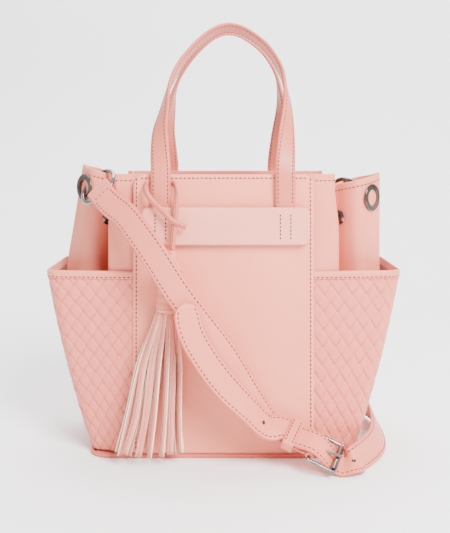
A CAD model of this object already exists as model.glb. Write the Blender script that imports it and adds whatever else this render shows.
"""A small pink leather tote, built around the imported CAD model.

Everything is in metres in the model's own frame: +Z up, +X right, and the front faces -Y.
Lists marked MM repeat the CAD routes and plans in millimetres.
"""

import math

import bpy
import numpy as np
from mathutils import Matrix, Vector


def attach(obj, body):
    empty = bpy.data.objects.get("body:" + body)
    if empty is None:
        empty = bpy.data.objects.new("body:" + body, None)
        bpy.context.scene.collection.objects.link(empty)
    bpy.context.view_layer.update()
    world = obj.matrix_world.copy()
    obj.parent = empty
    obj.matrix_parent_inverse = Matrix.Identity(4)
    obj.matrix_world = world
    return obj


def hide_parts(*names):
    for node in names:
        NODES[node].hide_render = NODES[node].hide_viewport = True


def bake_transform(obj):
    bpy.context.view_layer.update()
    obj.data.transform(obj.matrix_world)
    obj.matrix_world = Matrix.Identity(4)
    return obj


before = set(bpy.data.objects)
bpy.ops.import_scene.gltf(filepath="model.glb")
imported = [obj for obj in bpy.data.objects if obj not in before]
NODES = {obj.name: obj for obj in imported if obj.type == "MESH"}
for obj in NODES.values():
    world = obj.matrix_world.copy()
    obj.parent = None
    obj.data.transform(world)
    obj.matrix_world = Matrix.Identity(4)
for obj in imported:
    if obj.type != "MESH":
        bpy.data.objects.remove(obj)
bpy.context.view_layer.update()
MM = 0.001
UP = np.array([0.0, 0.0, 1.0])


# ---- Camera, floor and light ----
CAMERA_AT = (0.0, -0.75, 0.273)
CAMERA_LENS = 52.95
CAMERA_SHIFT = (0.003, -0.222)


def make_camera():
    data = bpy.data.cameras.new("camera")
    data.lens = CAMERA_LENS
    data.sensor_width = 36
    data.shift_x, data.shift_y = CAMERA_SHIFT
    data.clip_start = 0.01
    camera = bpy.data.objects.new("camera", data)
    camera.location = CAMERA_AT
    camera.rotation_euler = (math.radians(90), 0, 0)
    bpy.context.scene.collection.objects.link(camera)
    bpy.context.scene.camera = camera


def make_light(name, at, aim, size, power):
    data = bpy.data.lights.new(name, "AREA")
    data.size = size
    data.energy = power
    lamp = bpy.data.objects.new(name, data)
    lamp.location = at
    lamp.rotation_euler = (Vector(aim) - Vector(at)).to_track_quat("-Z", "Y").to_euler()
    bpy.context.scene.collection.objects.link(lamp)


def make_world():
    world = bpy.data.worlds.new("studio")
    world.use_nodes = True
    background = world.node_tree.nodes["Background"]
    background.inputs["Color"].default_value = (1.0, 0.985, 0.97, 1)
    background.inputs["Strength"].default_value = 0.95
    bpy.context.scene.world = world


def make_floor(material):
    """A floor that curves up into a back wall, behind the object."""
    profile = [(-1.4, 0.0), (0.6, 0.0)]
    for k in range(1, 13):
        a = k / 12 * math.pi / 2
        profile.append((0.6 + 0.5 * math.sin(a), 0.5 - 0.5 * math.cos(a)))
    profile.append((1.1, 2.6))
    verts = [(x, y, z) for y, z in profile for x in (-2.5, 2.5)]
    faces = [(2 * k, 2 * k + 1, 2 * k + 3, 2 * k + 2) for k in range(len(profile) - 1)]
    mesh = bpy.data.meshes.new("studio_floor")
    mesh.from_pydata(verts, [], faces)
    mesh.polygons.foreach_set("use_smooth", [True] * len(faces))
    mesh.materials.append(material)
    floor = bpy.data.objects.new("studio_floor", mesh)
    bpy.context.scene.collection.objects.link(floor)


# ---- Materials ----
def srgb(r, g, b):
    def one(c):
        c = c / 255
        return c / 12.92 if c <= 0.04045 else ((c + 0.055) / 1.055) ** 2.4
    return (one(r), one(g), one(b), 1.0)


def scaled(color, k):
    return tuple(min(1.0, c * k) for c in color[:3]) + (1.0,)


class Shader:
    """A material being made: its node tree, its shader and its object coordinates."""

    def __init__(self, name):
        self.material = bpy.data.materials.new(name)
        self.material.use_nodes = True
        self.tree = self.material.node_tree
        self.bsdf = self.tree.nodes["Principled BSDF"]
        self.coords = self.tree.nodes.new("ShaderNodeTexCoord").outputs["Object"]

    def node(self, kind, **inputs):
        made = self.tree.nodes.new(kind)
        for key, value in inputs.items():
            socket = made.inputs[key.replace("_", " ")]
            if isinstance(value, bpy.types.NodeSocket):
                self.tree.links.new(value, socket)
            else:
                socket.default_value = value
        return made

    def noise(self, scale, detail=3.0, rough=0.5, vector=None):
        made = self.node("ShaderNodeTexNoise", Scale=scale, Detail=detail, Roughness=rough)
        self.tree.links.new(vector or self.coords, made.inputs["Vector"])
        return made.outputs["Fac"]

    def cells(self, scale):
        made = self.node("ShaderNodeTexVoronoi", Scale=scale)
        self.tree.links.new(self.coords, made.inputs["Vector"])
        return made.outputs["Distance"]

    def blend(self, factor, low, high):
        made = self.tree.nodes.new("ShaderNodeValToRGB")
        made.color_ramp.elements[0].position = 0.3
        made.color_ramp.elements[0].color = low
        made.color_ramp.elements[1].position = 0.7
        made.color_ramp.elements[1].color = high
        self.tree.links.new(factor, made.inputs["Fac"])
        return made.outputs["Color"]

    def spread(self, factor, low, high):
        made = self.node("ShaderNodeMapRange", Value=factor)
        made.inputs["From Min"].default_value = 0.3
        made.inputs["From Max"].default_value = 0.7
        made.inputs["To Min"].default_value = low
        made.inputs["To Max"].default_value = high
        return made.outputs["Result"]

    def bump(self, height, strength, distance, before=None):
        made = self.node("ShaderNodeBump", Height=height, Strength=strength, Distance=distance)
        if before is not None:
            self.tree.links.new(before, made.inputs["Normal"])
        return made.outputs["Normal"]

    def put(self, name, value):
        if isinstance(value, bpy.types.NodeSocket):
            self.tree.links.new(value, self.bsdf.inputs[name])
        else:
            self.bsdf.inputs[name].default_value = value


def leather(name, color, rough=0.5, grain=0.35, mottle=0.05, tone=14.0):
    """Smooth coated leather: fine pebbled grain, soft creases and slight changes of tone."""
    s = Shader(name)
    tint = s.noise(tone, 4.0)
    s.put("Base Color", s.blend(tint, scaled(color, 1 - mottle), scaled(color, 1 + mottle)))
    s.put("Roughness", s.spread(s.noise(60.0), rough - 0.05, rough + 0.07))
    s.put("Specular IOR Level", 0.42)
    s.put("Sheen Weight", 0.08)
    pebble = s.bump(s.cells(1500.0), grain, 0.00012)
    crease = s.bump(s.noise(120.0, 5.0, 0.6), grain * 0.5, 0.0004, pebble)
    s.put("Normal", crease)
    return s.material


def suede(name, color):
    """Raw cut edge or suede: matt, with a short nap."""
    s = Shader(name)
    s.put("Base Color", s.blend(s.noise(300.0, 4.0), scaled(color, 0.93), scaled(color, 1.04)))
    s.put("Roughness", 0.85)
    s.put("Sheen Weight", 0.2)
    s.put("Normal", s.bump(s.noise(2500.0, 2.0), 0.5, 0.0002))
    return s.material


def cloth(name, color, pitch=0.0009):
    """Plain woven lining."""
    s = Shader(name)
    warp = s.node("ShaderNodeTexWave", Scale=0.16 / pitch, Distortion=0.4)
    s.tree.links.new(s.coords, warp.inputs["Vector"])
    weft = s.node("ShaderNodeTexWave", Scale=0.16 / pitch, Distortion=0.4)
    weft.bands_direction = "Z"
    s.tree.links.new(s.coords, weft.inputs["Vector"])
    threads = s.node("ShaderNodeMath")
    s.tree.links.new(warp.outputs["Fac"], threads.inputs[0])
    s.tree.links.new(weft.outputs["Fac"], threads.inputs[1])
    s.put("Base Color", s.blend(s.noise(40.0), scaled(color, 0.9), scaled(color, 1.06)))
    s.put("Roughness", 0.8)
    s.put("Sheen Weight", 0.25)
    s.put("Normal", s.bump(threads.outputs[0], 0.35, 0.0002))
    return s.material


def metal(name, color, rough):
    """Plated metal with faint polishing marks and small changes of gloss."""
    s = Shader(name)
    s.put("Metallic", 1.0)
    s.put("Base Color", s.blend(s.noise(70.0, 0.0), scaled(color, 0.42), color))
    s.put("Roughness", s.spread(s.noise(420.0), rough, rough + 0.09))
    s.put("Normal", s.bump(s.noise(700.0, 3.0), 0.06, 0.0001))
    return s.material


def floor_material():
    s = Shader("studio_paper")
    s.put("Base Color", s.blend(s.noise(3.0), (0.90, 0.90, 0.90, 1), (0.93, 0.93, 0.93, 1)))
    s.put("Roughness", 0.9)
    return s.material


PINK = srgb(224, 126, 104)
LEATHER = leather("pink_leather", PINK)
PANEL = leather("pink_panel_leather", srgb(234, 134, 110), rough=0.46, grain=0.28)
TAB = leather("pink_tab_leather", srgb(232, 146, 126), rough=0.55, grain=0.6)
STRAP = leather("pink_strap_leather", srgb(218, 118, 96), rough=0.48)
HANDLE = leather("pink_handle_leather", srgb(204, 106, 86), rough=0.48)
WEAVE = leather("woven_pink_leather", srgb(218, 116, 100), rough=0.5, mottle=0.04)
GAP = leather("weave_gap_leather", srgb(150, 66, 56), rough=0.7)
EDGE = leather("pink_cut_edge", srgb(204, 96, 82), rough=0.6, grain=0.6)
THREAD = suede("pink_thread", srgb(104, 32, 28))
DARK_THREAD = suede("dark_thread", srgb(46, 12, 16))
LINING = cloth("rose_lining", srgb(140, 62, 58))
FRINGE = suede("pink_fringe", srgb(224, 130, 112))
FRINGE_EDGE = suede("cream_cut_edge", srgb(242, 222, 196))
BOARD = suede("grey_board", srgb(150, 125, 105))
NICKEL = metal("dark_nickel", srgb(128, 121, 118), 0.16)
CHROME = metal("bright_chrome", srgb(158, 155, 154), 0.1)


# ---- Curves and grids ----
def catmull(points, steps):
    """Catmull-Rom curve through points, with steps segments between two of them."""
    p = np.asarray(points, float)
    ends = np.vstack([p[:1], p, p[-1:]])
    out = []
    for i in range(len(p) - 1):
        a, b, c, d = ends[i:i + 4]
        for t in np.arange(steps) / steps:
            out.append((2 * b + (c - a) * t + (2 * a - 5 * b + 4 * c - d) * t ** 2
                        + (3 * b - a - 3 * c + d) * t ** 3) / 2)
    out.append(p[-1])
    return np.array(out)


def unit(v):
    v = np.asarray(v, float)
    return v / np.maximum(np.linalg.norm(v, axis=-1, keepdims=True), 1e-12)


def lengths(points):
    """Distance along a line at each of its points."""
    return np.concatenate([[0.0], np.cumsum(np.linalg.norm(np.diff(points, axis=0), axis=1))])


def tangents(points):
    return unit(np.gradient(points, axis=0))


def sample(values, at, where):
    """Rows of values, known at distances at, read at the distances where."""
    return np.stack([np.interp(where, at, values[:, k]) for k in range(values.shape[1])], axis=1)


def smooth(t):
    t = np.clip(t, 0.0, 1.0)
    return t * t * (3 - 2 * t)


def new_piece(name, verts, faces, materials, face_materials=None, body="root", slot="leather"):
    mesh = bpy.data.meshes.new(name)
    mesh.from_pydata(np.asarray(verts, float).tolist(), [], faces)
    for material in materials:
        mesh.materials.append(material)
    if face_materials is not None:
        mesh.polygons.foreach_set("material_index", face_materials)
    mesh.polygons.foreach_set("use_smooth", [True] * len(mesh.polygons))
    mesh.validate()
    piece = bpy.data.objects.new(name, mesh)
    bpy.context.scene.collection.objects.link(piece)
    if body is not None:
        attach(piece, body)
    return piece


def grid_faces(rows, cols, start=0, wrap=False):
    """Quads of a rows x cols grid of vertices; wrap closes it along its columns."""
    faces = []
    for r in range(rows - 1):
        for c in range(cols if wrap else cols - 1):
            d = (c + 1) % cols
            a, b = start + r * cols, start + (r + 1) * cols
            faces.append((a + c, a + d, b + d, b + c))
    return faces


def ring_faces(rows, cols):
    """Quads of a rows x cols grid of vertices that is closed both ways."""
    faces = []
    for r in range(rows):
        a, b = r * cols, (r + 1) % rows * cols
        for c in range(cols):
            d = (c + 1) % cols
            faces.append((a + c, b + c, b + d, a + d))
    return faces


def closed_tube(rings):
    """Vertices and faces of a tube through rings of points, closed at both ends."""
    rings = np.asarray(rings, float)
    rows, cols = rings.shape[:2]
    faces = grid_faces(rows, cols, wrap=True)
    faces.append(tuple(range(cols))[::-1])
    faces.append(tuple((rows - 1) * cols + c for c in range(cols)))
    return rings.reshape(-1, 3), faces


def folded_shell(outer, inner, rim):
    """A closed sheet: outer grid, a rounded rim over its last row, and the inner grid.

    outer and inner are rows x cols points with the open edge last; rim is the rounding's reach."""
    rise = unit(outer[-1] - outer[-2])
    middle = (outer[-1] + inner[-1]) / 2
    half = (outer[-1] - inner[-1]) / 2
    arc = [middle + half * math.cos(a) + rise * rim * math.sin(a) for a in np.linspace(0, math.pi, 8)[1:-1]]
    grid = np.concatenate([outer, np.array(arc), inner[::-1]])
    rows, cols = grid.shape[:2]
    faces = grid_faces(rows, cols)
    for r in range(rows // 2):
        s = rows - 1 - r
        if s - 1 <= r:
            break
        faces.append((r * cols, (r + 1) * cols, (s - 1) * cols, s * cols))
        last = cols - 1
        faces.append((s * cols + last, (s - 1) * cols + last, (r + 1) * cols + last, r * cols + last))
    last_row = (rows - 1) * cols
    for c in range(cols - 1):
        faces.append((c + 1, c, last_row + c, last_row + c + 1))
    return grid.reshape(-1, 3), faces


def lathe(profile, centre, axis, segments=48, start=None):
    """Closed rings of points round an axis, from (radius, height) pairs."""
    axis = unit(axis)
    side = unit(np.cross(axis, start if start is not None else [0.3, 1.0, 0.2]))
    other = np.cross(axis, side)
    turn = np.linspace(0, 2 * math.pi, segments, endpoint=False)
    circle = np.outer(np.cos(turn), side) + np.outer(np.sin(turn), other)
    return [np.asarray(centre) + circle * r + axis * h for r, h in profile]


# ---- Stitches ----
def stitch_shape():
    """One stitch: x along the seam, y across it, z out of the leather, each from -1 to 1."""
    rings = []
    for x, r in ((-1.0, 0.15), (-0.86, 0.75), (-0.4, 1.0), (0.4, 1.0), (0.86, 0.75), (1.0, 0.15)):
        lift = 1.0 - 1.3 * x * x
        for k in range(6):
            a = k * math.pi / 3
            rings.append((x, r * math.cos(a), r * math.sin(a) + lift))
    return closed_tube(np.array(rings).reshape(6, 6, 3))


STITCH_VERTS, STITCH_FACES = stitch_shape()


def stitch_rows(name, rows, body="root", pitch=0.0040, length=0.0027, radius=0.00052,
                material=None, slot="leather"):
    """Rows of real stitches. A row is (points on the leather, outward normals)."""
    verts, faces, count = [], [], 0
    for points, normals in rows:
        points = np.asarray(points, float)
        normals = np.asarray(normals, float)
        along = lengths(points)
        number = max(1, int(round(along[-1] / pitch)))
        where = (np.arange(number) + 0.5) * along[-1] / number
        centre = sample(points, along, where)
        heading = unit(sample(points, along, where + length / 2) - sample(points, along, where - length / 2))
        out = unit(sample(normals, along, where))
        across = unit(np.cross(out, heading))
        for c, d, w, n in zip(centre, heading, across, out):
            verts.append(c + np.outer(STITCH_VERTS[:, 0] * length / 2, d)
                         + np.outer(STITCH_VERTS[:, 1] * radius, w)
                         + np.outer(STITCH_VERTS[:, 2] * radius * 0.6, n))
            faces += [tuple(count + v for v in f) for f in STITCH_FACES]
            count += len(STITCH_VERTS)
    return new_piece(name, np.concatenate(verts), faces, [material or THREAD], body=body, slot=slot)


# ---- Leather plates ----
def plate_grid(width, height, low_r, high_r, cols, rows):
    """Points (x, z, distance from the edge) of a rectangle with rounded corners."""
    s = np.sin(np.linspace(-math.pi / 2, math.pi / 2, rows))
    zs = (0.35 * s + 0.65 * np.linspace(-1, 1, rows) + 1) / 2 * height
    us = 0.35 * np.sin(np.linspace(-math.pi / 2, math.pi / 2, cols)) + 0.65 * np.linspace(-1, 1, cols)
    grid = np.zeros((rows, cols, 3))
    for i, z in enumerate(zs):
        half = width / 2
        for r, d in ((low_r, z), (high_r, height - z)):
            if d < r:
                half = min(half, width / 2 - r + math.sqrt(max(0.0, r * r - (r - d) ** 2)))
        x = us * half
        grid[i, :, 0] = x
        grid[i, :, 1] = z
        grid[i, :, 2] = np.minimum(half - np.abs(x), min(z, height - z))
    return grid


def plate(name, size, corner, place, materials, edge=0.0008, bulge=0.0, cells=(60, 80), **how):
    """A leather plate with rounded edges. size is (width, height, thickness), corner (low, high) radii,
    and place(x, z, out) gives the row frame's point."""
    width, height, thick = size
    grid = plate_grid(width, height, corner[0], corner[1], *cells)
    x, z, d = grid[..., 0], grid[..., 1], np.maximum(grid[..., 2], 0)
    drop = edge - np.sqrt(np.maximum(0, edge ** 2 - np.maximum(0, edge - d) ** 2))
    swell = bulge * np.sqrt(np.clip(d / (width / 2), 0, 1))
    front = place(x, z, thick / 2 - drop + swell)
    back = place(x, z, -thick / 2 + drop)
    rows, cols = x.shape
    verts = np.concatenate([front.reshape(-1, 3), back.reshape(-1, 3)])
    faces = grid_faces(rows, cols)
    n = rows * cols
    face_materials = [0] * len(faces)
    faces += [tuple(n + v for v in f[::-1]) for f in grid_faces(rows, cols)]
    ring = list(range(cols)) + [r * cols + cols - 1 for r in range(1, rows)]
    ring += [(rows - 1) * cols + c for c in range(cols - 2, -1, -1)]
    ring += [r * cols for r in range(rows - 2, 0, -1)]
    for a, b in zip(ring, ring[1:] + ring[:1]):
        faces.append((b, a, n + a, n + b))
    face_materials += [1 if len(materials) > 1 else 0] * (len(faces) - len(face_materials))
    return new_piece(name, verts, faces, materials, face_materials, **how)


# ---- Straps ----
def strap_section(width, thick, groove):
    """Closed ring of (across, out) points: padded faces with a groove for the stitches, rounded edges."""
    hw, ht = width / 2, thick / 2
    g = hw - groove
    face = [(-hw + ht * 0.9, ht * 0.8), (-g - 0.0009, ht), (-g, ht - 0.00018), (-g + 0.0012, ht)]
    face += [(-g / 2, ht * 1.04), (0, ht * 1.06)]
    face += [(-a, o) for a, o in face[-2::-1]]
    side = [(hw - ht * (1 - math.cos(a)), ht * 0.8 * math.sin(a)) for a in (1.0, 0.5, 0.0, -0.5, -1.0)]
    back = [(-a, -o) for a, o in face]
    other = [(-a, -o) for a, o in side]
    ring = face + side + back + other
    return np.array(ring), len(face), len(side)


ROUTE_STEPS = 12


class Strap:
    """A flat strap along a route, with its frame at every step of its length."""

    def __init__(self, route, across, width, thick, step=0.0025, groove=0.0030):
        line = catmull(route, ROUTE_STEPS)
        at = lengths(line)
        count = max(4, int(at[-1] / step))
        self.at = np.linspace(0, at[-1], count + 1)
        self.points = sample(line, at, self.at)
        sides = sample(catmull(across, ROUTE_STEPS), at, self.at)
        ahead = tangents(self.points)
        sides = sides - ahead * np.sum(sides * ahead, axis=1, keepdims=True)
        self.sides = unit(sides)
        self.outs = unit(np.cross(ahead, self.sides))
        self.width, self.thick, self.groove = width, thick, groove
        self.scale = np.ones(len(self.at))
        self.rise = np.zeros(len(self.at))

    def round_end(self, radius, last=False):
        """Rounds an end off, so the strap narrows over the last stretch of its length."""
        d = self.at[-1] - self.at if last else self.at
        d = np.clip(d / radius, 0.004, 1)
        self.scale = self.scale * np.sqrt(1 - (1 - d) ** 2)

    def piece(self, name, materials, **how):
        ring, faces_n, side_n = strap_section(self.width, self.thick, self.groove)
        rings = []
        for p, w, k, s, u in zip(self.points, self.sides, self.outs, self.scale, self.rise):
            rings.append(p + np.outer(ring[:, 0] * s, w) + np.outer(ring[:, 1] * min(1, s * 3) + u, k))
        verts, faces = closed_tube(rings)
        cols = len(ring)
        marks = []
        for f in faces:
            c = f[0] % cols
            edge = faces_n - 1 <= c < faces_n + side_n or c >= 2 * faces_n + side_n - 1
            marks.append(1 if edge and len(f) == 4 else 0)
        return new_piece(name, verts, faces, materials, marks, **how)

    def line(self, offset, face, start=0.0, end=None):
        """A row on a face (1 or -1), at an offset across, between two distances along the strap."""
        end = self.at[-1] if end is None else end
        keep = (self.at >= start) & (self.at <= end)
        reach = self.width / 2 * self.scale - self.groove
        shift = np.clip(offset, -reach, reach)
        lift = face * (self.thick / 2 - 0.0002) + self.rise
        pts = self.points + self.sides * shift[:, None] + self.outs * lift[:, None]
        return pts[keep], (self.outs * face)[keep]

    def cross_line(self, distance, face):
        """A row straight across a face, at a distance along the strap."""
        i = int(np.argmin(np.abs(self.at - distance)))
        t = np.linspace(-self.width / 2 + self.groove, self.width / 2 - self.groove, 12)
        pts = self.points[i] + np.outer(t, self.sides[i]) + self.outs[i] * face * (self.thick / 2 - 0.0002)
        return pts, np.repeat((self.outs[i] * face)[None], len(t), axis=0)

    def edges(self, start=0.0, end=None, faces=(1, -1)):
        half = self.width / 2 - self.groove
        return [self.line(s * half, f, start, end) for f in faces for s in (-1, 1)]


# ---- Shoulder strap, its buckle's place, and the tassel's lace: the cords ----
BUCKLE_AT = np.array([76, -86, 20.2])
BUCKLE_TURN = (26, 22, -15)
STRAP_W = 0.0235
STRAP_T = 0.0026
STRAP_TIP_R = 0.011
RING_SEAM = 0.036
BUCKLE_GAP = 0.028
RING_GAP = 0.03
TIP_GAP = 0.0035


def buckle_dir(v):
    a, b, c = (math.radians(t) for t in BUCKLE_TURN)
    x, y, z = v
    y, z = y * math.cos(a) - z * math.sin(a), y * math.sin(a) + z * math.cos(a)
    x, z = x * math.cos(b) + z * math.sin(b), -x * math.sin(b) + z * math.cos(b)
    return np.array([x * math.cos(c) - y * math.sin(c), x * math.sin(c) + y * math.cos(c), z])


def on_buckle(x, z):
    return list(BUCKLE_AT + buckle_dir((x, 0, z)))


BUCKLE_ACROSS = list(buckle_dir((0, -1, 0)))
RING_ACROSS = [-0.73, 0, -0.68]
BUCKLE_STRAP_MM = [
    [-105.5, -31.2, 226.1], [-110.8, -26.8, 231.8], [-115, -35.6, 237], [-110.2, -44.4, 233.3],
    [-105, -51.2, 228], [-97, -59.3, 222], [-84, -70, 213], [-61, -86, 185.5], [-38.5, -91, 152],
    [-19, -90.5, 126], [2, -87.5, 97.5], [21.5, -82, 64], [39.6, -76.7, 37.1],
    on_buckle(-34, 0), on_buckle(-26, 0), on_buckle(-14, 0), on_buckle(-4.2, 0)]
BUCKLE_STRAP_ACROSS = [RING_ACROSS] * 7 + [
    [-0.78, -0.04, -0.62], [-0.8, -0.06, -0.6], [-0.79, -0.1, -0.6], [-0.76, -0.25, -0.6],
    [-0.68, -0.45, -0.56], [-0.48, -0.73, -0.47]] + [BUCKLE_ACROSS] * 4
LONG_STRAP_MM = [
    [-32, -98.5, 144], [-26.5, -99.5, 119], [-13, -99, 95], [2.5, -97.5, 74.5], [20.5, -93.5, 55],
    [36.8, -86.7, 38], on_buckle(-30, 4.2), on_buckle(-22, 3.3), on_buckle(-13, 3.1),
    on_buckle(-5, 4.9), on_buckle(2, 5.6), on_buckle(8, 3.2), on_buckle(14, -1), on_buckle(19, -4.6),
    on_buckle(24, -4.6), on_buckle(29.2, -4.2), [109, -90.6, 8.9], [114.8, -85, 11.4],
    [122, -75, 11.3], [131, -60, 11], [139, -42, 11], [143.5, -22, 11.4], [145.5, 0, 12.2],
    [145, 24, 13.6], [139, 48, 14.6],
    [122, 70, 14.5], [98, 84, 14], [72, 92, 13.6], [50, 104, 13.6], [43, 120, 13.6],
    [54, 134, 13.8], [76, 135, 17], [91, 125, 30], [95, 112, 60], [94, 99, 98], [95, 86, 138],
    [99, 71, 180], [106.3, 57.7, 213.5], [113.9, 48.7, 219.7], [119.5, 43.3, 224.8],
    [124.3, 35.3, 228.4], [120.1, 26.5, 223.1], [114.8, 30.9, 217.4]]
LONG_STRAP_ACROSS = [[-0.84, -0.38, 0.1 - 0.1125 * i] for i in range(4)]
LONG_STRAP_ACROSS += [[-0.6, -0.7, -0.4], [-0.58, -0.75, -0.33]]
LONG_STRAP_ACROSS += [BUCKLE_ACROSS] * 10 + [[-0.33, -0.75, -0.57], [-0.08, -0.62, -0.78]]
LONG_STRAP_ACROSS += [[0.24, -0.46, -0.85], [0.42, -0.4, -0.81], [0.54, -0.22, -0.81]]
LONG_STRAP_ACROSS += [[0.54, -0.06, -0.84], [0.47, 0, -0.88], [0.33, 0, -0.94], [0.14, 0, -0.99]]
LONG_STRAP_ACROSS += [[0, 0, -1]] * 5 + [[0.45, 0.3, -0.8]] * 2 + [[0.85, 0.3, -0.4]] * 2
LONG_STRAP_ACROSS += [[1, 0.2, -0.1]] * 2 + [[0.85, 0.1, -0.4]] + [[0.73, 0, -0.68]] * 6
LACE_MM = [
    [-44.4, -73.5, 185.2], [-43.6, -72.4, 194], [-42.4, -69.6, 208], [-41.2, -67.6, 224],
    [-41.6, -64, 236], [-45.5, -57.6, 243.2], [-55, -57.1, 244.2], [-65, -57.4, 243.6],
    [-68.4, -62, 240], [-66.5, -66.2, 233], [-61, -67.8, 226], [-53, -69.6, 218.5],
    [-44, -71, 210], [-36, -70.5, 206], [-32, -70, 204.5]]
LACE_ACROSS = [[1, 0, 0]] * 4 + [[0.5, -0.8, 0.2]] + [[0, 0, 1]] * 3 + [[-0.4, -0.3, -0.8]]
LACE_ACROSS += [[-0.7, 0, -0.7]] * 3 + [[-0.6, 0, -0.8]] + [[-0.5, 0, -0.85]] * 2
LACE_W = 0.005
LACE_T = 0.0013


def in_metres(points):
    return np.asarray(points, float) * MM


def make_buckle_strap():
    strap = Strap(in_metres(BUCKLE_STRAP_MM), BUCKLE_STRAP_ACROSS, STRAP_W, STRAP_T)
    piece = strap.piece("buckle_strap_leather", [STRAP, EDGE])
    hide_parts("buckle_strap")
    rows = strap.edges(RING_SEAM, strap.at[-1] - BUCKLE_GAP)
    rows += [strap.cross_line(RING_SEAM, face) for face in (1, -1)]
    thread = stitch_rows("buckle_strap_thread", rows)


HOLE_R = 0.0013
HOLE_SIDES = 24
HOLE_AT = (4.75, 16.3)


def make_strap_holes(strap):
    """Punched holes with pressed rims, on both faces of the strap; HOLE_AT counts route points."""
    line = catmull(in_metres(LONG_STRAP_MM), ROUTE_STEPS)
    at = lengths(line)
    profile = [(1.7, -0.0003), (1.7, 0.00002), (1.35, 0.00016), (1.0, 0.00002), (0.01, 0.00001)]
    verts, faces, marks, count = [], [], [], 0
    for index in HOLE_AT:
        i = int(np.argmin(np.abs(strap.at - at[int(index * ROUTE_STEPS)])))
        for face in (1, -1):
            out = strap.outs[i] * face
            centre = strap.points[i] + out * (strap.thick * 0.53 + 0.0001)
            v, f = closed_tube(lathe([(r * HOLE_R, h) for r, h in profile], centre, out, HOLE_SIDES))
            marks += [1 if min(q) >= 2 * HOLE_SIDES else 0 for q in f]
            faces += [tuple(count + k for k in q) for q in f]
            verts.append(v)
            count += len(v)
    return new_piece("long_strap_holes", np.concatenate(verts), faces, [STRAP, DARK_THREAD], marks)


def make_long_strap():
    strap = Strap(in_metres(LONG_STRAP_MM), LONG_STRAP_ACROSS, STRAP_W, STRAP_T)
    strap.round_end(STRAP_TIP_R)
    piece = strap.piece("long_strap_leather", [STRAP, EDGE])
    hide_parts("long_strap")
    thread = stitch_rows("long_strap_thread", strap.edges(TIP_GAP, strap.at[-1] - RING_GAP))
    make_strap_holes(strap)


def make_lace():
    strap = Strap(in_metres(LACE_MM), LACE_ACROSS, LACE_W, LACE_T, step=0.0012, groove=0.0012)
    piece = strap.piece("tassel_lace_leather", [HANDLE, EDGE], body="tassel")
    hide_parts("tassel_lace")


# ---- Plans shared with the CAD, in millimetres ----
FOLD_PLAN = [(70, -54), (84, -54), (96, -52.5), (102.5, -48.5), (101, -41), (93, -31), (89, -19),
             (96, -7.5), (106, -5.5), (114.5, -14), (123.5, -19), (133, -17), (143, -6.5), (148.5, 0)]
FOLD_N = len(FOLD_PLAN)
CREASE_X, EAR_X = 89, 148.5
CREASE_I, WING_TIP_I = 6, 3
WING_IN_SHARE = (0, 0, 0, 1, 1, 0.3)
FOOT_D = (54, 46)
FOOT_W, FOOT_R = 112.5, 12
POCKET_H = 163
HINGE_Y, HINGE_Z = -60, 252
LEAN = math.radians(1)
HALF_D = 60
LEFT_SIDE = (249, 244, 257, 134, 10)
RIGHT_SIDE = (249, 235, 249, 148.5, 3)


def lerp(a, b, t):
    return a + (b - a) * t


def ease(t):
    return float(smooth(t))


def panel_y(z):
    return HALF_D - (z - 4) * math.tan(LEAN)


def pocket_half_w(z):
    q = z / POCKET_H
    return 117 + 56 * q - 14 * q * q


def foot_point(i):
    u, w, r, d = i / (FOLD_N - 1), FOOT_W, FOOT_R, FOOT_D[1]
    straight, bend = w - r - 70, r * math.pi / 2
    s = u * (straight + bend + d - r)
    a = (s - straight) / r
    if s < straight:
        return 70 + s, -lerp(FOOT_D[0], d, s / straight)
    if s < straight + bend:
        return w - r + r * math.sin(a), -d + r * (1 - math.cos(a))
    return w, -d + r + s - straight - bend


def gusset_point(i, z, side):
    x, y = FOLD_PLAN[i]
    top = EAR_X if z < POCKET_H else lerp(EAR_X, side[3], (z - POCKET_H) / 90)
    reach = min(top, pocket_half_w(min(z, POCKET_H)) - 7)
    y += (z - 4) * math.tan(LEAN) * min(1, max(0, CREASE_I - i) / 4)
    if i > CREASE_I:
        x = CREASE_X + (x - CREASE_X) * (reach - CREASE_X) / (EAR_X - CREASE_X)
    elif i < CREASE_I:
        x -= WING_IN_SHARE[i] * side[4] * ease((z - 205) / 30)
    fx, fy = foot_point(i)
    k = ease((z - 12) / 100)
    return lerp(fx, x, k), lerp(fy, y, k)


def hem_z(i, side):
    if i < WING_TIP_I:
        return side[0]
    if i <= CREASE_I:
        return lerp(side[0], side[1], ease((i - WING_TIP_I) / (CREASE_I - WING_TIP_I)))
    return lerp(side[1], side[2], (i - CREASE_I - 1) / (FOLD_N - CREASE_I - 2))


GUSSET_ROWS = [0, 0.05, 0.1, 0.15, 0.2, 0.25, 0.3, 0.35, 0.4, 0.45, 0.5, 0.56, 0.62, 0.68, 0.74,
               0.79, 0.83, 0.87, 0.9, 0.93, 0.955, 0.975, 0.99, 1]


def gusset_rings(side, drop, mirror):
    """Rows of points up one side's folded gusset, in metres; drop lowers the hem."""
    rows = []
    for s in GUSSET_ROWS:
        ring = []
        for j in range(2 * FOLD_N - 1):
            i = j if j < FOLD_N else 2 * (FOLD_N - 1) - j
            z = lerp(4, hem_z(i, side) - drop, s)
            x, y = gusset_point(i, z, side)
            ring.append((x * mirror, y if j < FOLD_N else -y, z))
        rows.append(catmull(ring, 5) * MM)
    return np.array(rows)


def plan_normals(rings, outward):
    """Unit normals of the rows in plan, turned to the outward side."""
    d = np.gradient(rings, axis=1)
    n = np.stack([d[..., 1], -d[..., 0], np.zeros(d.shape[:2])], axis=2)
    return unit(n) * outward


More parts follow.
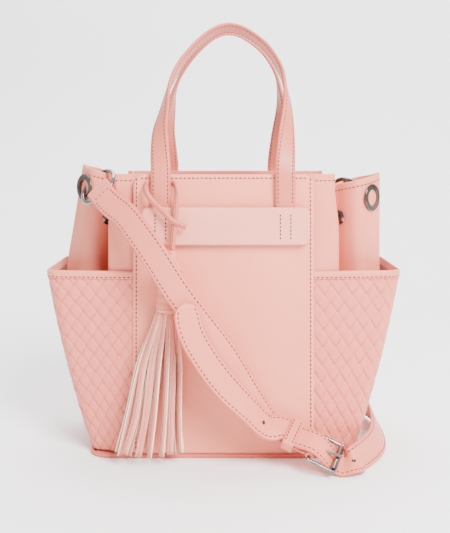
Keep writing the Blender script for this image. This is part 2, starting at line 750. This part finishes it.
def soft_folds(rings, normals, seed, depth):
    """Shallow creases and sags over a soft wall, none of them at its foot."""
    rng = np.random.default_rng(seed)
    x = np.linspace(0, 1, rings.shape[1])[None, :]
    z = (rings[..., 2] / 0.25).clip(0, 1)
    wave = np.zeros(rings.shape[:2])
    for k in range(5):
        a, b, c = rng.uniform(3, 9), rng.uniform(-3, 3), rng.uniform(0, 6.28)
        wave += np.sin(2 * math.pi * (a * x + b * z) + c) / (k + 2)
    fade = smooth((z - 0.15) / 0.3)
    return rings + normals * (wave * depth * fade)[..., None]


CREASE_SEEDS = {"left": 11, "right": 7}
CREASE_DEPTH = 0.0004
GUSSET_HALF_T = 0.0009
HEM_DROP = 0.005
HEM_ENDS = 4
LINING_DROP_MM = 9
LINING_FACES = (0.0014, 0.0021)


def make_gusset(name, side, mirror):
    rings = gusset_rings(side, 0, mirror)
    normals = plan_normals(rings, mirror)
    seed = CREASE_SEEDS[name]
    rings = soft_folds(rings, normals, seed, CREASE_DEPTH)
    outer = rings + normals * GUSSET_HALF_T
    inner = rings - normals * GUSSET_HALF_T
    verts, faces = folded_shell(outer, inner, 0.0011)
    piece = new_piece(name + "_gusset_leather", verts, faces, [LEATHER])
    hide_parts(name + "_gusset")
    rows = []
    for grid, n in ((outer, normals), (inner, -normals)):
        hem = grid[-1] - UP * HEM_DROP
        rows.append((hem[HEM_ENDS:-HEM_ENDS], n[-1][HEM_ENDS:-HEM_ENDS]))
    stitch_rows(name + "_gusset_thread", rows)
    low = gusset_rings(side, LINING_DROP_MM, mirror)
    low_n = plan_normals(low, mirror)
    low = soft_folds(low, low_n, seed, CREASE_DEPTH)
    verts, faces = folded_shell(low - low_n * LINING_FACES[0], low - low_n * LINING_FACES[1], 0.0003)
    lining = new_piece(name + "_gusset_cloth", verts, faces, [LINING], slot="lining")
    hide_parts(name + "_gusset_lining")


# ---- Woven side pockets ----
WEAVE_W, WEAVE_H = 0.0128, 0.0155


def pocket_plan(z):
    w, r = pocket_half_w(z), 13
    c = 50 - r
    front = panel_y(z) - 3.1
    half = [(70, -front), (82, -front), (lerp(82, w - r, 0.5), -lerp(front, c + r, 0.45))]
    half += [(w - r + r * math.sin(math.radians(a)), -c - r * math.cos(math.radians(a)))
             for a in range(0, 91, 15)]
    half.append((w, -c / 2))
    return half + [(w, 0)] + [(x, -y) for x, y in half[::-1]]


def pocket_wall(z_low, z_high, rows, mirror, cols=160):
    """Rows of evenly spaced points round a pocket, in metres, with their outward normals."""
    out = []
    for z in np.linspace(z_low, z_high, rows):
        plan = np.array([(x * mirror, y, z) for x, y in pocket_plan(z)], float)
        line = catmull(plan, 6)
        at = lengths(line)
        out.append(sample(line, at, np.linspace(0, at[-1], cols)) * MM)
    rings = np.array(out)
    flat = plan_normals(rings, mirror)
    along = np.gradient(rings, axis=1)
    up = np.gradient(rings, axis=0)
    normals = unit(np.cross(along, up))
    normals *= np.sign(np.sum(normals * flat, axis=2, keepdims=True))
    return rings, normals


def wall_point(rings, normals, u, v):
    """Points and normals of a wall at the fractional columns u and rows v."""
    rows, cols = rings.shape[:2]
    u = np.clip(u, 0, cols - 1.001)
    v = np.clip(v, 0, rows - 1.001)
    c, r = u.astype(int), v.astype(int)
    fu, fv = (u - c)[..., None], (v - r)[..., None]

    def mix(a):
        low = a[r, c] * (1 - fu) + a[r, c + 1] * fu
        high = a[r + 1, c] * (1 - fu) + a[r + 1, c + 1] * fu
        return low * (1 - fv) + high * fv
    return mix(rings), unit(mix(normals))


def make_weave(name, rings, normals):
    """Leather strips woven on the slant: every cell is the piece of strip that lies on top there."""
    rows, cols = rings.shape[:2]
    width = float(lengths(rings[-1])[-1])
    height = float(rings[-1, 0, 2] - rings[0, 0, 2])
    s = np.array([-1.22, -1.05, -0.9, -0.6, -0.2, 0.2, 0.6, 0.9, 1.05, 1.22])
    t = np.array([-1.0, -0.97, -0.88, -0.5, 0, 0.5, 0.88, 0.97, 1.0])
    ss, tt = np.meshgrid(s, t, indexing="ij")
    over = 0.00115 - 0.00145 * np.abs(ss / 1.22) ** 3.2
    side = 0.0011 * np.clip((np.abs(tt) - 0.88) / 0.12, 0, 1) ** 2
    lift = over - side
    verts, faces, count = [], [], 0
    half_w, half_h = WEAVE_W / 2, WEAVE_H / 2
    for i in range(int(2 * width / WEAVE_W) + 2):
        for j in range(int(2 * height / WEAVE_H) + 2):
            if (i + j) % 2:
                continue
            u0, v0 = i * half_w, j * half_h
            slant = 1 if ((i - j) // 2) % 2 == 0 else -1
            if ((i + j) // 2) % 2:
                slant = -slant
            u = u0 + ss * half_w / 2 * slant + tt * half_w / 2 * slant
            v = v0 + ss * half_h / 2 - tt * half_h / 2
            inside = (u > -0.001) & (u < width + 0.001) & (v > -0.001) & (v < height + 0.001)
            if not inside.any():
                continue
            p, n = wall_point(rings, normals, u / width * (cols - 1), v / height * (rows - 1))
            points = p + n * (lift + 0.0002)[..., None]
            verts.append(points.reshape(-1, 3))
            faces += grid_faces(len(s), len(t), count)
            count += points.shape[0] * points.shape[1]
    return new_piece(name, np.concatenate(verts), faces, [WEAVE], slot="woven_leather")


def make_pocket(name, mirror):
    rings, normals = pocket_wall(4.2, 156.5, 60, mirror)
    verts, faces = folded_shell(rings + normals * 0.0002, rings - normals * 0.001, 0.0004)
    wall = new_piece(name + "_pocket_wall", verts, faces, [GAP], slot="woven_leather")
    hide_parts(name + "_pocket")
    make_weave(name + "_pocket_weave", rings, normals)
    rim, rim_n = pocket_wall(156.6, 162.7, 8, mirror)
    swell = np.array([0.0009, 0.0014, 0.0014, 0.0014, 0.0014, 0.0014, 0.0013, 0.0010])[:, None, None]
    verts, faces = folded_shell(rim + rim_n * swell, rim - rim_n * 0.001, 0.0013)
    band = new_piece(name + "_pocket_rim", verts, faces, [LEATHER])
    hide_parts(name + "_pocket_binding")
    stitch_rows(name + "_pocket_thread", [(rim[2] + rim_n[2] * 0.0013, rim_n[2])])


# ---- Centre panels, tabs and handles ----
def upright(y_side, depth, tilt=LEAN, foot=4 * MM):
    """Places a plate's (x, z, out) on the leaning front (-1) or back (1) of the bag."""
    def place(x, z, out):
        y = -(HALF_D * MM - depth) + z * math.sin(tilt) - out * math.cos(tilt)
        up = foot + z * math.cos(tilt) + out * math.sin(tilt)
        return np.stack([x, -y_side * y if y_side > 0 else y, up], axis=-1)
    return place


def make_panel(name, y_side):
    place = upright(y_side, 0.001)
    size = (0.160, 0.246, 0.002)
    piece = plate(name + "_panel_leather", size, (0.001, 0.010), place, [PANEL, EDGE],
                  edge=0.0007, bulge=0.0008)
    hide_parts(name + "_panel")
    rows = []
    inset, top_inset, proud = 0.0030, 0.0035, 0.0012
    z = np.linspace(0.004, size[1] - inset, 90)
    x = np.full_like(z, size[0] / 2 - inset)
    top = np.linspace(-size[0] / 2 + 0.006, size[0] / 2 - 0.006, 60)
    for lx, lz in ((-x, z), (x, z), (top, np.full_like(top, size[1] - top_inset))):
        points = place(lx, lz, np.full_like(lx, proud))
        rows.append((points, np.tile([0, y_side * 1.0, 0], (len(lx), 1))))
    stitch_rows(name + "_panel_thread", rows, pitch=0.0038)
    inside = upright(y_side, 0.0054)
    cloth_piece = plate(name + "_lining_cloth", (0.134, 0.240, 0.0009), (0.002, 0.010), inside,
                        [LINING], edge=0.0003, slot="lining")
    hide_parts(name + "_lining")


TAB_X = (-72.5, 76)
TAB_Z = (188, 221)
LEG_X = (-55.3, 54.5)


def make_tab(name, y_side):
    """The wide tab over the handle ends, with its lower edge standing a little proud."""
    width, height = (TAB_X[1] - TAB_X[0]) * MM, (TAB_Z[1] - TAB_Z[0]) * MM
    middle = (TAB_X[0] + TAB_X[1]) / 2 * MM
    y0 = (panel_y(TAB_Z[0]) + 0.3 + 3.2 + 0.3 + 1.2) * MM

    def place(x, z, out):
        lift = 0.0009 * smooth((0.012 - z) / 0.012) * (1 - smooth(np.abs(x) / 0.08 - 0.2))
        y = -(y0 + lift + out)
        return np.stack([x + middle, y if y_side < 0 else -y, z + TAB_Z[0] * MM], axis=-1)

    piece = plate(name + "_tab_leather", (width, height, 0.0024), (0.007, 0.007), place, [TAB, EDGE],
                  edge=0.0008, bulge=0.0003, cells=(80, 30))
    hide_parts(name + "_tab")
    rows = []
    for leg in LEG_X:
        for dx in (-4.6, 4.6):
            z = np.linspace(0.0045, 0.0275, 12)
            x = np.full_like(z, (leg + dx) * MM - middle)
            rows.append((place(x, z, np.full_like(z, 0.0012)), np.tile([0, y_side * 1.0, 0], (12, 1))))
    stitch_rows(name + "_tab_thread", rows, pitch=0.0033, length=0.0023, radius=0.00055,
                material=DARK_THREAD)


LEG_MM = [(190, -58.7), (206, -58.7), (221, -58.7), (232, -59.6), (242, -60), (250.4, -60)]
ARCH_MM = [(-55.3, 4), (-56, 14), (-56.8, 28), (-56.6, 42), (-53.5, 60), (-50, 80), (-42, 100),
           (-30.5, 117), (-18, 130.5), (-6.5, 138.5), (4.5, 141.5), (16.5, 139), (28.5, 131.5),
           (39.5, 121.5), (48, 109), (54, 94.5), (57.5, 74), (58, 56), (57, 40), (56, 26),
           (55, 13), (54.5, 4)]
ARCH_MID = 10
HANDLE_LEAN = math.radians(18.8)
HANDLE_W, HANDLE_T = 0.018, 0.0032
HANDLE_SEAM = 0.034


def handle_route():
    route = [(LEG_X[0], y, z) for z, y in LEG_MM]
    across = [(1, 0, 0)] * len(LEG_MM)
    for i, (x, h) in enumerate(ARCH_MM):
        share = min(1.0, (h + 4) / 98)
        turn = math.radians(90) * lerp(share, ease(share), 0.4)
        side = 1 if i <= ARCH_MID else -1
        route.append((x, HINGE_Y + h * math.sin(HANDLE_LEAN), HINGE_Z + h * math.cos(HANDLE_LEAN)))
        across.append((side * math.cos(turn), -math.sin(turn) * math.cos(HANDLE_LEAN),
                       math.sin(turn) * math.sin(HANDLE_LEAN)))
    route += [(LEG_X[1], y, z) for z, y in LEG_MM[::-1]]
    across += [(-1, 0, 0)] * len(LEG_MM)
    return np.array(route, float) * MM, np.array(across, float)


def make_handle(name, y_side):
    route, across = handle_route()
    if y_side > 0:
        route[:, 1] *= -1
        across[:, 1] *= -1
    strap = Strap(route, across, HANDLE_W, HANDLE_T, step=0.002, groove=0.0026)
    piece = strap.piece(name + "_handle_leather", [HANDLE, EDGE], body=None)
    rows = strap.edges(HANDLE_SEAM, strap.at[-1] - HANDLE_SEAM)
    thread = stitch_rows(name + "_handle_thread", rows,
                         body=None, pitch=0.0036, length=0.0024)
    for obj in (piece, thread):
        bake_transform(obj)
    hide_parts(name + "_handle", name + "_handle_ends")


# ---- Base ----
def make_base():
    def slab(name, node, half, r, z_low, thick, materials, slot, edge):
        def place(x, z, out):
            return np.stack([x, z - half[1], z_low + thick / 2 + out], axis=-1)
        made = plate(name, (2 * half[0], 2 * half[1], thick), (r, r), place, materials, edge=edge,
                     slot=slot, cells=(60, 40))
        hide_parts(node)
        return made

    slab("base_leather", "base_panel", (0.116, 0.058), 0.016, 0.0, 0.002, [LEATHER, EDGE], "leather", 0.0008)
    slab("base_stiffener", "base_board", (0.106, 0.042), 0.012, 0.0043, 0.0022, [BOARD], "board", 0.0003)
    slab("base_lining_cloth", "base_lining", (0.106, 0.042), 0.012, 0.0068, 0.001, [LINING], "lining", 0.0004)
    make_welt()


def make_welt():
    """Piping round the foot of the bag."""
    hw, hd, r = 0.1180, 0.0590, 0.017
    line = []
    for cx, cy, a0 in ((hw - r, hd - r, 0), (-hw + r, hd - r, 90),
                       (-hw + r, -hd + r, 180), (hw - r, -hd + r, 270)):
        for a in range(0, 91, 10):
            t = math.radians(a0 + a)
            line.append((cx + r * math.cos(t), cy + r * math.sin(t), 0.00185))
    line = np.array(line)
    ahead = unit(np.roll(line, -1, axis=0) - np.roll(line, 1, axis=0))
    side = np.cross(ahead, UP)
    turn = np.linspace(0, 2 * math.pi, 12, endpoint=False)
    rings = np.array([p + np.outer(np.cos(turn), s) * 0.0016 + np.outer(np.sin(turn), UP) * 0.00175
                      for p, s in zip(line, side)])
    faces = ring_faces(*rings.shape[:2])
    piece = new_piece("base_piping", rings.reshape(-1, 3), faces, [EDGE])
    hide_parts("base_welt")


# ---- Tassel ----
CAP_AT = np.array([-49, -73.5, 132]) * MM
CAP_TILT = math.radians(5)
CAP_AXIS = np.array([math.sin(CAP_TILT), 0.0, math.cos(CAP_TILT)])
CAP_PROFILE = [(7.6, 1.5), (7.6, 0.3), (8.2, 0), (9.2, 0.2), (9.6, 0.8), (9.6, 8.4), (9.35, 8.9), (9.6, 9.4),
               (9.6, 14.6), (9.25, 15.2), (9.25, 15.6), (9.7, 16.2), (9.7, 21.4), (9.25, 22.0), (9.25, 22.4),
               (9.7, 23), (9.7, 29), (9.25, 29.6), (9.25, 30), (9.6, 30.6), (9.5, 36), (9.0, 38.6),
               (7.6, 40.3), (5.6, 42.6), (4.0, 44.2), (3.5, 45), (3.5, 50.6), (3.2, 52.2),
               (2.6, 52.9), (0.2, 52.9)]


def make_cap():
    rings = lathe([(r * MM, h * MM) for r, h in CAP_PROFILE], CAP_AT, CAP_AXIS, 40)
    verts, faces = closed_tube(rings)
    piece = new_piece("tassel_cap_leather", verts, faces, [LEATHER], body="tassel")
    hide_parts("tassel_cap")
    rows = []
    for h in (3.2, 35.5):
        turn = np.linspace(0, 2 * math.pi, 60)
        ring = np.stack([np.cos(turn), np.sin(turn), 0 * turn], axis=1)
        rows.append((CAP_AT + ring * 0.0096 + CAP_AXIS * h * MM, ring))
    stitch_rows("tassel_cap_thread", rows, body="tassel", pitch=0.0030, length=0.0019, radius=0.00025)


FRINGE_N = 16


def make_fringe():
    """Flat suede strands that hang out of the cap and fan towards the foot."""
    rng = np.random.default_rng(5)
    verts, faces, marks, count = [], [], [], 0
    for i in range(FRINGE_N):
        a = 2 * math.pi * i / FRINGE_N
        top = CAP_AT + np.array([5.6 * math.cos(a), 5.6 * math.sin(a), 6]) * MM
        foot = np.array([-64 + 27 * math.cos(a) + rng.uniform(-2, 2), -74.5 + 8 * math.sin(a),
                         6.5 + rng.uniform(0, 6)]) * MM
        bow = np.array([3 * math.cos(a) + rng.uniform(-1, 1), 0.6 * math.sin(a), 0]) * MM
        middle = lerp(top, foot, 0.42) + bow
        low = lerp(top, foot, 0.75) + np.array([rng.uniform(-1.5, 1.5), 0, 0]) * MM
        spin = rng.uniform(-1.1, 1.1)
        side = np.array([math.cos(spin) * 1.0, math.sin(spin) * 0.8, 0])
        strand = Strap([top, lerp(top, middle, 0.5), middle, low, foot],
                       [side * 0.6 + np.array([-math.sin(a), math.cos(a), 0]) * 0.4] * 2 + [side] * 3,
                       0.0054, 0.0014, step=0.006, groove=0.0012)
        strand.scale = lerp(0.55, 1.0, smooth(strand.at / 0.06))
        ring, top_n, side_n = strap_section(strand.width, strand.thick, strand.groove)
        rings = [p + np.outer(ring[:, 0] * s, w) + np.outer(ring[:, 1], k)
                 for p, w, k, s in zip(strand.points, strand.sides, strand.outs, strand.scale)]
        v, f = closed_tube(rings)
        cols = len(ring)
        for q in f:
            c = q[0] % cols
            edge = top_n - 2 <= c < top_n + side_n + 1 or c >= 2 * top_n + side_n - 2 or c == 0
            marks.append(1 if edge else 0)
        faces += [tuple(count + k for k in q) for q in f]
        verts.append(v)
        count += len(v)
    piece = new_piece("tassel_fringe_strands", np.concatenate(verts), faces, [FRINGE, FRINGE_EDGE], marks,
                      body="tassel", slot="fringe")
    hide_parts("tassel_fringe")


# ---- Strap fittings and hardware ----
KEEPER_X = -20


def make_keeper():
    """A stitched loop of strap leather round both layers, just before the buckle."""
    ring = []
    hw, low, high, r = 14.3, -2.7, 5.9, 1.6
    for cx, cz, a0 in ((hw - r, high - r, 0), (-hw + r, high - r, 90),
                       (-hw + r, low + r, 180), (hw - r, low + r, 270)):
        for a in range(0, 91, 15):
            t = math.radians(a0 + a)
            ring.append((cx + r * math.cos(t), cz + r * math.sin(t), math.cos(t), math.sin(t)))
    ring = np.array(ring)
    section = [(-5, -0.5), (-5, 0.3), (-4.6, 0.75), (-3.3, 0.7), (-2.6, 0.8), (2.6, 0.8), (3.3, 0.7),
               (4.6, 0.75), (5, 0.3), (5, -0.5), (4.4, -0.7), (-4.4, -0.7)]
    ex, ey, ez = (buckle_dir(v) for v in ((1, 0, 0), (0, 1, 0), (0, 0, 1)))
    rings = []
    for y, z, ny, nz in ring:
        rings.append([(BUCKLE_AT + ex * (KEEPER_X + x) + ey * (y + ny * o) + ez * (z + nz * o)) * MM
                      for x, o in section])
    rings = np.array(rings)
    rows, cols = rings.shape[:2]
    faces = ring_faces(rows, cols)
    marks = [1 if (k % cols) in (0, 1, 7, 8, 9) else 0 for k in range(len(faces))]
    piece = new_piece("keeper_leather", rings.reshape(-1, 3), faces, [STRAP, EDGE], marks,
                      body="strap_keeper")
    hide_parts("strap_keeper")
    rows = []
    for x in (-3.2, 3.2):
        y = np.linspace(-hw + 1.5, hw - 1.5, 12)
        points = np.array([(BUCKLE_AT + ex * (KEEPER_X + x) + ey * v + ez * (high + 0.7)) * MM for v in y])
        rows.append((points, np.tile(ez, (len(y), 1))))
    stitch_rows("keeper_thread", rows, body="strap_keeper", pitch=0.0036)


FOLD_SPANS = ((-11.2, -3.2), (3.2, 11.2))
FOLD_SIDES = 28


def make_fold():
    """The strap's end, rolled round the buckle's heel bar on both sides of the prong."""
    verts, faces, count = [], [], 0
    ex, ey, ez = (buckle_dir(v) for v in ((1, 0, 0), (0, 1, 0), (0, 0, 1)))
    for y0, y1 in FOLD_SPANS:
        rings = []
        for y, r in ((y0, 3.2), (y0 + 0.15, 3.6), (y0 + 0.6, 3.8),
                     (y1 - 0.6, 3.8), (y1 - 0.15, 3.6), (y1, 3.2)):
            ring = []
            for k in range(FOLD_SIDES):
                a = 2 * math.pi * k / FOLD_SIDES
                ring.append((BUCKLE_AT + ey * y + (ex * math.cos(a) + ez * math.sin(a)) * r) * MM)
            rings.append(ring)
        v, f = closed_tube(rings)
        verts.append(v)
        faces += [tuple(count + k for k in q) for q in f]
        count += len(v)
    piece = new_piece("buckle_fold_leather", np.concatenate(verts), faces, [STRAP])
    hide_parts("buckle_fold")


CHROME_NODES = ("buckle_frame", "buckle_roller", "buckle_tongue", "left_ring")
NICKEL_NODES = ("left_front_eyelet", "left_back_eyelet", "right_front_eyelet", "right_back_eyelet",
                "eyelet_washers", "left_snaps", "right_snaps", "right_ring")


def finish_metal():
    for names, material in ((CHROME_NODES, CHROME), (NICKEL_NODES, NICKEL)):
        for name in names:
            node = NODES[name]
            if not node.material_slots:
                node.data.materials.append(material)
            for place in node.material_slots:
                place.material = material


make_camera()
make_world()
make_floor(floor_material())
make_light("key", (0.75, -1.25, 1.25), (0.03, 0, 0.14), 0.8, 105)
make_light("fill", (-1.3, -1.0, 0.9), (0, 0, 0.15), 1.4, 4)
make_light("top", (0.0, 0.9, 1.9), (0, 0.5, 0.1), 1.6, 85)
make_buckle_strap()
make_long_strap()
make_lace()
make_gusset("left", LEFT_SIDE, -1)
make_gusset("right", RIGHT_SIDE, 1)
make_pocket("left", -1)
make_pocket("right", 1)
for label, facing in (("front", -1), ("back", 1)):
    make_panel(label, facing)
    make_tab(label, facing)
    make_handle(label, facing)
make_base()
make_cap()
make_fringe()
make_keeper()
make_fold()
finish_metal()
